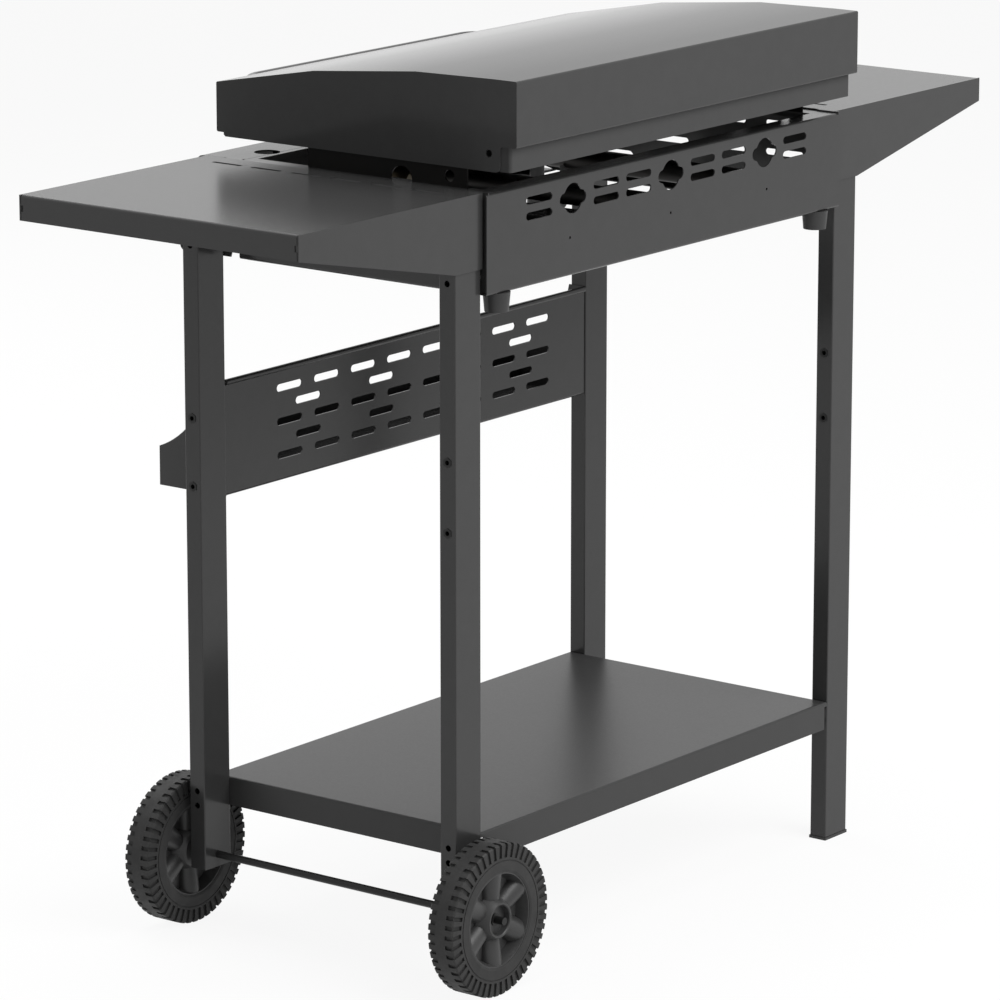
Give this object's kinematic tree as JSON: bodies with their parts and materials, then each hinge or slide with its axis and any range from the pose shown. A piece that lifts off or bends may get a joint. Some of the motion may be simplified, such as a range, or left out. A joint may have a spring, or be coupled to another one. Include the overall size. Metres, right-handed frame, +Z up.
{
  "type": "outdoor gas griddle station",
  "caption": "Wheeled outdoor gas griddle cart with a hinged arched lid, folded-sheet side shelves, a perforated condiment rack, a bottom shelf, knobs on a sloping fascia and a grease cup.",
  "frame": {"origin": "on the floor, under the middle of the whole object's box", "axes": "+X along the length from the wheel side to the foot side, +Y towards the cook, +Z up; the lid is closed, the knobs are off and the cup is in its clips"},
  "size_m": [1.1808, 0.4656, 0.922],
  "materials": {
    "powder_coat": "satin",
    "lid_coat": "satin",
    "black_plastic": "matte",
    "hub_plastic": "matte",
    "tyre_rubber": "matte",
    "bumper_rubber": "matte",
    "zinc_steel": "satin",
    "dark_steel": "black zinc",
    "stainless": "brushed",
    "pipe_steel": "satin",
    "valve_brass": "satin",
    "ceramic": "glazed",
    "griddle_iron": "seasoned"
  },
  "bodies": {
    "station": {"axle": "dark_steel", "axle_clips": "dark_steel", "axle_spacers": "zinc_steel", "back_panel": "powder_coat", "bottom_shelf": "powder_coat", "bottom_shelf_bolts": "zinc_steel", "burner_foot_side": "stainless", "burner_middle": "stainless", "burner_strap": "powder_coat", "burner_wheel_side": "stainless", "cup_clips": "powder_coat", "foot_caps": "black_plastic", "front_panel": "powder_coat", "gas_inlet": "valve_brass", "griddle_plate": "griddle_iron", "griddle_posts": "zinc_steel", "head_bolts": "zinc_steel", "head_feet": "black_plastic", "head_spacers": "zinc_steel", "heat_shield": "powder_coat", "hinge_pins": "zinc_steel", "hinge_washers": "zinc_steel", "igniter_electrodes": "ceramic", "insert_nuts": "dark_steel", "knob_bezels": "black_plastic", "leg_back_foot_side": "powder_coat", "leg_back_wheel_side": "powder_coat", "leg_front_foot_side": "powder_coat", "leg_front_wheel_side": "powder_coat", "lid_bumpers": "bumper_rubber", "manifold": "pipe_steel", "manifold_brackets": "powder_coat", "rack_bolts": "zinc_steel", "side_shelf_foot_side": "powder_coat", "side_shelf_wheel_side": "powder_coat", "side_wall_foot_side": "powder_coat", "side_wall_wheel_side": "powder_coat", "storage_rack": "powder_coat", "valve_foot_side": "valve_brass", "valve_middle": "valve_brass", "valve_wheel_side": "valve_brass"},
    "lid": {"lid_skin": "lid_coat", "lid_end_wheel_side": "lid_coat", "lid_end_foot_side": "lid_coat", "lid_back_lip": "lid_coat", "lid_handle": "lid_coat", "handle_feet": "black_plastic"},
    "wheel_back": {"wheel_hub_back": "hub_plastic", "wheel_tyre_back": "tyre_rubber"},
    "wheel_front": {"wheel_hub_front": "hub_plastic", "wheel_tyre_front": "tyre_rubber"},
    "cup": {"grease_cup": "stainless"},
    "knob_wheel_side_body": {"knob_wheel_side": "black_plastic", "valve_stem_wheel_side": "valve_brass"},
    "knob_middle_body": {"knob_middle": "black_plastic", "valve_stem_middle": "valve_brass"},
    "knob_foot_side_body": {"knob_foot_side": "black_plastic", "valve_stem_foot_side": "valve_brass"}
  },
  "joints": [
    {"name": "lid_hinge", "type": "hinge", "parent": "station", "child": "lid", "pos_m": [0, -0.1884, 0.8481], "axis": [1, 0, 0], "range_deg": [0, 95]},
    {"name": "wheel_back_spin", "type": "hinge", "parent": "station", "child": "wheel_back", "pos_m": [-0.3296, -0.21205, 0.079], "axis": [0, 1, 0], "continuous": true},
    {"name": "wheel_front_spin", "type": "hinge", "parent": "station", "child": "wheel_front", "pos_m": [-0.3296, 0.18705, 0.079], "axis": [0, 1, 0], "continuous": true},
    {"name": "knob_wheel_side_turn", "type": "hinge", "parent": "station", "child": "knob_wheel_side_body", "pos_m": [-0.172, 0.19281, 0.76], "axis": [0, 0.9632, 0.269], "range_deg": [0, 135]},
    {"name": "knob_middle_turn", "type": "hinge", "parent": "station", "child": "knob_middle_body", "pos_m": [0, 0.19281, 0.76], "axis": [0, 0.9632, 0.269], "range_deg": [0, 135]},
    {"name": "knob_foot_side_turn", "type": "hinge", "parent": "station", "child": "knob_foot_side_body", "pos_m": [0.172, 0.19281, 0.76], "axis": [0, 0.9632, 0.269], "range_deg": [0, 135]},
    {"name": "grease_cup_slide", "type": "slide", "parent": "station", "child": "cup", "axis": [0, 0, -1], "range_m": [0, 0.07]}
  ]
}
